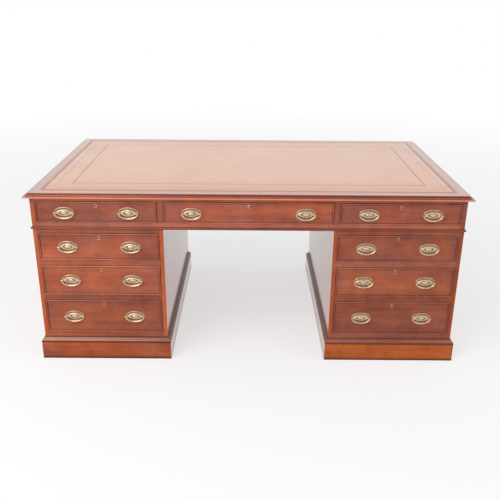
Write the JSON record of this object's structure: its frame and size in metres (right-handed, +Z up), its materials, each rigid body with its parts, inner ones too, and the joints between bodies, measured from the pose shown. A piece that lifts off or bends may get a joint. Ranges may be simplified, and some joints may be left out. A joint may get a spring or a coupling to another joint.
{
  "type": "pedestal desk",
  "caption": "Wooden pedestal desk with a leather-lined moulded top, frieze and graduated pedestal drawers, oval brass swing handles and moulded plinths.",
  "frame": {"origin": "on the floor, under the middle of the top", "axes": "+X to the right as seen from the sitter's side, +Y from the front to the back, +Z up"},
  "size_m": [1.83, 1.067, 0.762],
  "materials": {
    "mahogany": "polished red-brown mahogany",
    "oak": "plain waxed oak linings",
    "pine": "plain sawn pine",
    "leather": "pale tan hide with tooled border lines",
    "brass": "aged polished brass"
  },
  "bodies": {
    "carcase": {"top_border": "mahogany", "top_ground_panel": "pine", "leather_top": "leather", "frieze_case": "mahogany", "frieze_rails": "mahogany", "frieze_runners": "pine", "frieze_bead": "mahogany", "left_pedestal_case": "mahogany", "left_pedestal_runners": "pine", "left_pedestal_back": "mahogany", "left_plinth": "mahogany", "right_pedestal_case": "mahogany", "right_pedestal_runners": "pine", "right_pedestal_back": "mahogany", "right_plinth": "mahogany"},
    "frieze_left_drawer": {"frieze_left_drawer_front": "mahogany", "frieze_left_drawer_box": "oak", "frieze_left_drawer_fittings": "brass"},
    "frieze_left_drawer_bail_left": {"frieze_left_drawer_handle_left": "brass"},
    "frieze_left_drawer_bail_right": {"frieze_left_drawer_handle_right": "brass"},
    "frieze_middle_drawer": {"frieze_middle_drawer_front": "mahogany", "frieze_middle_drawer_box": "oak", "frieze_middle_drawer_fittings": "brass"},
    "frieze_middle_drawer_bail_left": {"frieze_middle_drawer_handle_left": "brass"},
    "frieze_middle_drawer_bail_right": {"frieze_middle_drawer_handle_right": "brass"},
    "frieze_right_drawer": {"frieze_right_drawer_front": "mahogany", "frieze_right_drawer_box": "oak", "frieze_right_drawer_fittings": "brass"},
    "frieze_right_drawer_bail_left": {"frieze_right_drawer_handle_left": "brass"},
    "frieze_right_drawer_bail_right": {"frieze_right_drawer_handle_right": "brass"},
    "left_top_drawer": {"left_top_drawer_front": "mahogany", "left_top_drawer_box": "oak", "left_top_drawer_fittings": "brass"},
    "left_top_drawer_bail_left": {"left_top_drawer_handle_left": "brass"},
    "left_top_drawer_bail_right": {"left_top_drawer_handle_right": "brass"},
    "left_middle_drawer": {"left_middle_drawer_front": "mahogany", "left_middle_drawer_box": "oak", "left_middle_drawer_fittings": "brass"},
    "left_middle_drawer_bail_left": {"left_middle_drawer_handle_left": "brass"},
    "left_middle_drawer_bail_right": {"left_middle_drawer_handle_right": "brass"},
    "left_bottom_drawer": {"left_bottom_drawer_front": "mahogany", "left_bottom_drawer_box": "oak", "left_bottom_drawer_fittings": "brass"},
    "left_bottom_drawer_bail_left": {"left_bottom_drawer_handle_left": "brass"},
    "left_bottom_drawer_bail_right": {"left_bottom_drawer_handle_right": "brass"},
    "right_top_drawer": {"right_top_drawer_front": "mahogany", "right_top_drawer_box": "oak", "right_top_drawer_fittings": "brass"},
    "right_top_drawer_bail_left": {"right_top_drawer_handle_left": "brass"},
    "right_top_drawer_bail_right": {"right_top_drawer_handle_right": "brass"},
    "right_middle_drawer": {"right_middle_drawer_front": "mahogany", "right_middle_drawer_box": "oak", "right_middle_drawer_fittings": "brass"},
    "right_middle_drawer_bail_left": {"right_middle_drawer_handle_left": "brass"},
    "right_middle_drawer_bail_right": {"right_middle_drawer_handle_right": "brass"},
    "right_bottom_drawer": {"right_bottom_drawer_front": "mahogany", "right_bottom_drawer_box": "oak", "right_bottom_drawer_fittings": "brass"},
    "right_bottom_drawer_bail_left": {"right_bottom_drawer_handle_left": "brass"},
    "right_bottom_drawer_bail_right": {"right_bottom_drawer_handle_right": "brass"}
  },
  "joints": [
    {"name": "frieze_left_drawer_slide", "type": "slide", "parent": "carcase", "child": "frieze_left_drawer", "axis": [0, -1, 0], "range_m": [0, 0.38]},
    {"name": "frieze_left_drawer_bail_left_swing", "type": "hinge", "parent": "frieze_left_drawer", "child": "frieze_left_drawer_bail_left", "pos_m": [-0.75725, -0.52, 0.6769], "axis": [-1, 0, 0], "range_deg": [0, 165]},
    {"name": "frieze_left_drawer_bail_right_swing", "type": "hinge", "parent": "frieze_left_drawer", "child": "frieze_left_drawer_bail_right", "pos_m": [-0.49425, -0.52, 0.6769], "axis": [-1, 0, 0], "range_deg": [0, 165]},
    {"name": "frieze_middle_drawer_slide", "type": "slide", "parent": "carcase", "child": "frieze_middle_drawer", "axis": [0, -1, 0], "range_m": [0, 0.38]},
    {"name": "frieze_middle_drawer_bail_left_swing", "type": "hinge", "parent": "frieze_middle_drawer", "child": "frieze_middle_drawer_bail_left", "pos_m": [-0.235, -0.52, 0.6769], "axis": [-1, 0, 0], "range_deg": [0, 165]},
    {"name": "frieze_middle_drawer_bail_right_swing", "type": "hinge", "parent": "frieze_middle_drawer", "child": "frieze_middle_drawer_bail_right", "pos_m": [0.235, -0.52, 0.6769], "axis": [-1, 0, 0], "range_deg": [0, 165]},
    {"name": "frieze_right_drawer_slide", "type": "slide", "parent": "carcase", "child": "frieze_right_drawer", "axis": [0, -1, 0], "range_m": [0, 0.38]},
    {"name": "frieze_right_drawer_bail_left_swing", "type": "hinge", "parent": "frieze_right_drawer", "child": "frieze_right_drawer_bail_left", "pos_m": [0.49425, -0.52, 0.6769], "axis": [-1, 0, 0], "range_deg": [0, 165]},
    {"name": "frieze_right_drawer_bail_right_swing", "type": "hinge", "parent": "frieze_right_drawer", "child": "frieze_right_drawer_bail_right", "pos_m": [0.75725, -0.52, 0.6769], "axis": [-1, 0, 0], "range_deg": [0, 165]},
    {"name": "left_top_drawer_slide", "type": "slide", "parent": "carcase", "child": "left_top_drawer", "axis": [0, -1, 0], "range_m": [0, 0.38]},
    {"name": "left_top_drawer_bail_left_swing", "type": "hinge", "parent": "left_top_drawer", "child": "left_top_drawer_bail_left", "pos_m": [-0.7555, -0.52, 0.5274], "axis": [-1, 0, 0], "range_deg": [0, 165]},
    {"name": "left_top_drawer_bail_right_swing", "type": "hinge", "parent": "left_top_drawer", "child": "left_top_drawer_bail_right", "pos_m": [-0.4925, -0.52, 0.5274], "axis": [-1, 0, 0], "range_deg": [0, 165]},
    {"name": "left_middle_drawer_slide", "type": "slide", "parent": "carcase", "child": "left_middle_drawer", "axis": [0, -1, 0], "range_m": [0, 0.38]},
    {"name": "left_middle_drawer_bail_left_swing", "type": "hinge", "parent": "left_middle_drawer", "child": "left_middle_drawer_bail_left", "pos_m": [-0.7555, -0.52, 0.3744], "axis": [-1, 0, 0], "range_deg": [0, 165]},
    {"name": "left_middle_drawer_bail_right_swing", "type": "hinge", "parent": "left_middle_drawer", "child": "left_middle_drawer_bail_right", "pos_m": [-0.4925, -0.52, 0.3744], "axis": [-1, 0, 0], "range_deg": [0, 165]},
    {"name": "left_bottom_drawer_slide", "type": "slide", "parent": "carcase", "child": "left_bottom_drawer", "axis": [0, -1, 0], "range_m": [0, 0.38]},
    {"name": "left_bottom_drawer_bail_left_swing", "type": "hinge", "parent": "left_bottom_drawer", "child": "left_bottom_drawer_bail_left", "pos_m": [-0.7555, -0.52, 0.2039], "axis": [-1, 0, 0], "range_deg": [0, 165]},
    {"name": "left_bottom_drawer_bail_right_swing", "type": "hinge", "parent": "left_bottom_drawer", "child": "left_bottom_drawer_bail_right", "pos_m": [-0.4925, -0.52, 0.2039], "axis": [-1, 0, 0], "range_deg": [0, 165]},
    {"name": "right_top_drawer_slide", "type": "slide", "parent": "carcase", "child": "right_top_drawer", "axis": [0, -1, 0], "range_m": [0, 0.38]},
    {"name": "right_top_drawer_bail_left_swing", "type": "hinge", "parent": "right_top_drawer", "child": "right_top_drawer_bail_left", "pos_m": [0.4925, -0.52, 0.5274], "axis": [-1, 0, 0], "range_deg": [0, 165]},
    {"name": "right_top_drawer_bail_right_swing", "type": "hinge", "parent": "right_top_drawer", "child": "right_top_drawer_bail_right", "pos_m": [0.7555, -0.52, 0.5274], "axis": [-1, 0, 0], "range_deg": [0, 165]},
    {"name": "right_middle_drawer_slide", "type": "slide", "parent": "carcase", "child": "right_middle_drawer", "axis": [0, -1, 0], "range_m": [0, 0.38]},
    {"name": "right_middle_drawer_bail_left_swing", "type": "hinge", "parent": "right_middle_drawer", "child": "right_middle_drawer_bail_left", "pos_m": [0.4925, -0.52, 0.3744], "axis": [-1, 0, 0], "range_deg": [0, 165]},
    {"name": "right_middle_drawer_bail_right_swing", "type": "hinge", "parent": "right_middle_drawer", "child": "right_middle_drawer_bail_right", "pos_m": [0.7555, -0.52, 0.3744], "axis": [-1, 0, 0], "range_deg": [0, 165]},
    {"name": "right_bottom_drawer_slide", "type": "slide", "parent": "carcase", "child": "right_bottom_drawer", "axis": [0, -1, 0], "range_m": [0, 0.38]},
    {"name": "right_bottom_drawer_bail_left_swing", "type": "hinge", "parent": "right_bottom_drawer", "child": "right_bottom_drawer_bail_left", "pos_m": [0.4925, -0.52, 0.2039], "axis": [-1, 0, 0], "range_deg": [0, 165]},
    {"name": "right_bottom_drawer_bail_right_swing", "type": "hinge", "parent": "right_bottom_drawer", "child": "right_bottom_drawer_bail_right", "pos_m": [0.7555, -0.52, 0.2039], "axis": [-1, 0, 0], "range_deg": [0, 165]}
  ]
}
